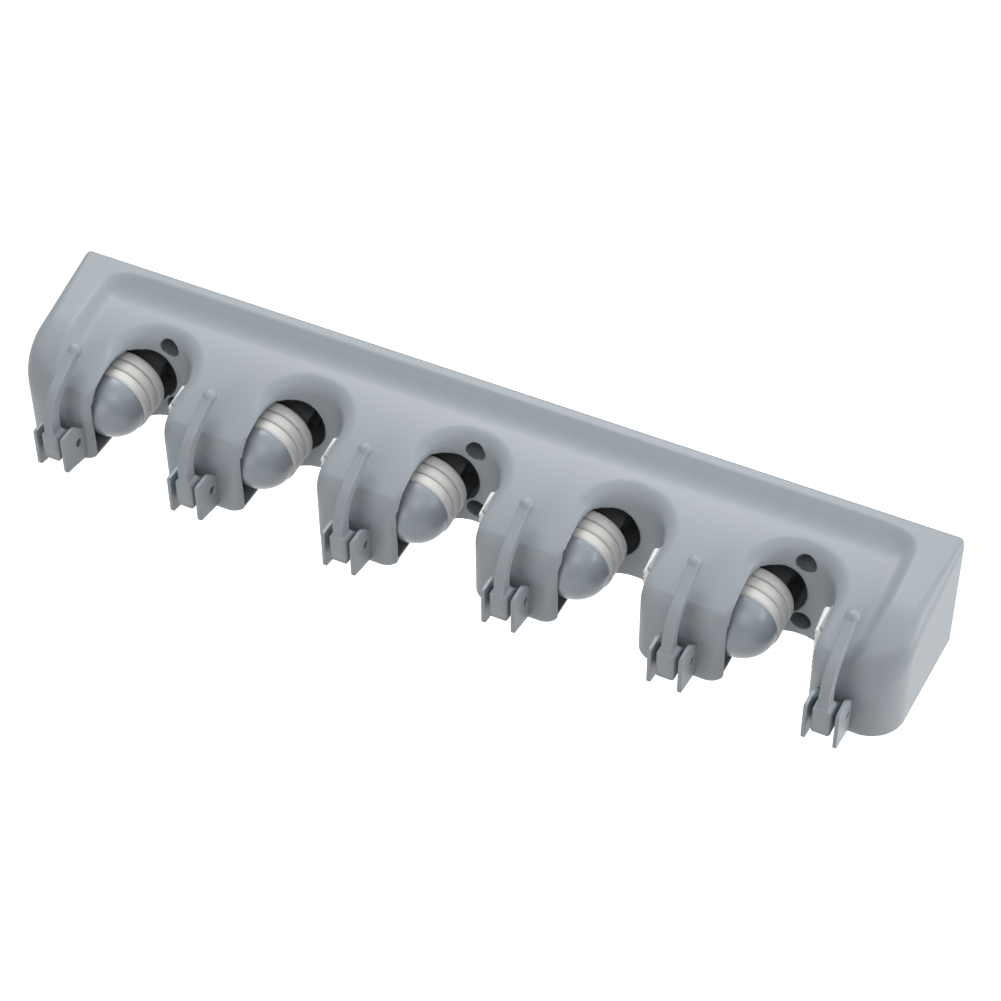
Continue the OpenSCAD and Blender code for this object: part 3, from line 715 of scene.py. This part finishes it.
hook_low = (-EAR_INSIDE - EAR_T - PAST, FOOT_FRONT - PAST, FOOT_BASE - PAST)
hook_high = (EAR_INSIDE + EAR_T + PAST, BALL_Y + BALL_R + PAST, BALL_Z + BALL_R + PAST)
hook_mesh = mesh_from_field("hook_mesh", hook_field, hook_low, hook_high, HOOK_STEP, HOOK_KEEP)
hook_mesh.materials.append(shell_grey)
hook_mesh.materials.append(painted_shade_dark)
# Painted shade: the star holes' faces get the darker charcoal, standing in for the shade inside the holes
centres = face_centres(hook_mesh)
painted_hole_shade = np.abs(star_hole(*centres)) < HOOK_STEP / 4
hook_mesh.polygons.foreach_set("material_index", painted_hole_shade.astype(np.int32))


def ear_field(x, y, z):
    """The pair of ears that carries a hook, about the hook's middle."""
    plate = np.abs(np.abs(x) - EAR_INSIDE - EAR_T / 2) - EAR_T / 2
    ear_front = SHELL_LOW.y
    ear_top = PIVOT_Z + EAR_TOP
    root_slope = EAR_ROOT_TOP / EAR_ROOT_RUN
    foot_slope = (EAR_ROOT_BELOW - EAR_BELOW) / (FRONT_Y - ear_front)
    chamfer = (z - ear_top - (FRONT_Y - EAR_ROOT_RUN - y) * root_slope) / math.hypot(1, root_slope)
    below = (PIVOT_Z - EAR_BELOW - (y - ear_front) * foot_slope - z) / math.hypot(1, foot_slope)
    side = round_max(ear_front - y, z - ear_top, EAR_CORNER)
    side = round_max(side, chamfer, EAR_CORNER)
    side = round_max(side, below, EAR_CORNER)
    side = np.maximum(side, y - FRONT_Y - EAR_SINK)
    side = np.maximum(side, PIN_R + PIN_CLEAR - np.hypot(y - PIVOT_Y, z - PIVOT_Z))
    return round_max(side, plate, EAR_EDGE_R)


ear_low = (-EAR_INSIDE - EAR_T - PAST, SHELL_LOW.y - PAST, PIVOT_Z - EAR_ROOT_BELOW - PAST)
ear_high = (EAR_INSIDE + EAR_T + PAST, FRONT_Y + EAR_SINK + PAST, PIVOT_Z + EAR_TOP + PAST)
ear_mesh = mesh_from_field("hook_ears_mesh", ear_field, ear_low, ear_high, EAR_STEP, EAR_KEEP)
ear_mesh.materials.append(shell_grey)

for k, pivot in enumerate(PIVOTS):
    hook = add_piece(f"moulded_hook_{k + 1}", hook_mesh, f"hook_arm_{k + 1}", (pivot.x, 0, 0))
    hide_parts(f"hook_{k + 1}")
    add_piece(f"hook_ears_{k + 1}", ear_mesh, "rack", (pivot.x, 0, 0))


# Pieces that stay as they are in the frame get their finish

FINISHES = {
    "back_plate": charcoal,
    "plate_screws": screw_steel,
    "slide_block": charcoal,
    "roller_axle": axle_white,
}
for name, node in frame["nodes"].items():
    for start, material in FINISHES.items():
        if name.startswith(start):
            node.data.materials.clear()
            node.data.materials.append(material)


# Floor, light and camera

FLOOR_DROP = 0.35
FLOOR_REACH = 6.0
FLOOR_GREY = 0.35
FLOOR_ROUGHNESS = 0.9
FLOOR_GLOW = 1.0
SKY_STRENGTH = 0.3
floor_mesh = bpy.data.meshes.new("floor")
corners = [(-1, -1), (1, -1), (1, 1), (-1, 1)]
floor_mesh.from_pydata(
    [(FLOOR_REACH * x, FLOOR_REACH * y, BOTTOM - FLOOR_DROP) for x, y in corners], [], [(0, 1, 2, 3)])
floor = bpy.data.objects.new("floor", floor_mesh)
bpy.context.scene.collection.objects.link(floor)


def floor_material():
    """White to the eye and in reflections, grey to the light that it throws back."""
    material = bpy.data.materials.new("floor_white")
    material.use_nodes = True
    nodes, links = material.node_tree.nodes, material.node_tree.links
    shader = nodes["Principled BSDF"]
    shader.inputs["Base Color"].default_value = (FLOOR_GREY, FLOOR_GREY, FLOOR_GREY, 1)
    shader.inputs["Roughness"].default_value = FLOOR_ROUGHNESS
    path = nodes.new("ShaderNodeLightPath")
    seen = nodes.new("ShaderNodeMath")
    seen.operation = "MAXIMUM"
    links.new(path.outputs["Is Camera Ray"], seen.inputs[0])
    links.new(path.outputs["Is Glossy Ray"], seen.inputs[1])
    glow = nodes.new("ShaderNodeEmission")
    glow.inputs["Strength"].default_value = FLOOR_GLOW
    mixed = nodes.new("ShaderNodeMixShader")
    both = nodes.new("ShaderNodeAddShader")
    links.new(shader.outputs["BSDF"], both.inputs[0])
    links.new(glow.outputs["Emission"], both.inputs[1])
    links.new(seen.outputs["Value"], mixed.inputs["Fac"])
    links.new(shader.outputs["BSDF"], mixed.inputs[1])
    links.new(both.outputs["Shader"], mixed.inputs[2])
    links.new(mixed.outputs["Shader"], nodes["Material Output"].inputs["Surface"])
    return material


floor_mesh.materials.append(floor_material())

world = bpy.data.worlds.new("studio")
bpy.context.scene.world = world
world.use_nodes = True
sky = world.node_tree.nodes["Background"]
sky.inputs["Color"].default_value = (1, 1, 1, 1)
sky.inputs["Strength"].default_value = SKY_STRENGTH


def add_light(name, place, target, size, power):
    """A square area light at a place, turned to a target."""
    lamp = bpy.data.lights.new(name, "AREA")
    lamp.size = size
    lamp.energy = power
    holder = bpy.data.objects.new(name, lamp)
    holder.location = place
    holder.rotation_euler = (Vector(target) - Vector(place)).to_track_quat("-Z", "Y").to_euler()
    bpy.context.scene.collection.objects.link(holder)


AIM = (0, -0.03, 0)

# Name, place, size in metres and power in watts
LIGHTS = [
    ("back", (-0.5, 0.9, 1.4), 1.0, 21),
    ("right", (1.3, 0.3, 0.4), 0.8, 11),
    ("low_front", (-0.4, -1.4, 0.35), 0.8, 5),
    ("front", (0.4, -0.9, 1.2), 0.8, 4),
]
for name, place, size, power in LIGHTS:
    add_light(name, place, AIM, size, power)

CAMERA_PLACE = Vector((0.39255, -0.79365, 0.85069))
CAMERA_RIGHT = Vector((0.8979, 0.4401, -0.0054))
CAMERA_UP = Vector((-0.3087, 0.6385, 0.7050))
CAMERA_BACK = Vector((0.3138, -0.6314, 0.7092))
FOCAL_PIXELS = 2843
IMAGE_PIXELS = 1001
SENSOR_WIDTH = 36
CLIP_END = 50

lens = bpy.data.cameras.new("photo_view")
lens.sensor_width = SENSOR_WIDTH
lens.lens = lens.sensor_width * FOCAL_PIXELS / IMAGE_PIXELS
lens.clip_end = CLIP_END
camera = bpy.data.objects.new("photo_view", lens)
turn = Matrix((CAMERA_RIGHT, CAMERA_UP, CAMERA_BACK)).transposed().to_4x4()
camera.matrix_world = Matrix.Translation(CAMERA_PLACE) @ turn
bpy.context.scene.collection.objects.link(camera)
bpy.context.scene.camera = camera
bpy.context.scene.view_settings.view_transform = "Standard"

bpy.context.view_layer.update()
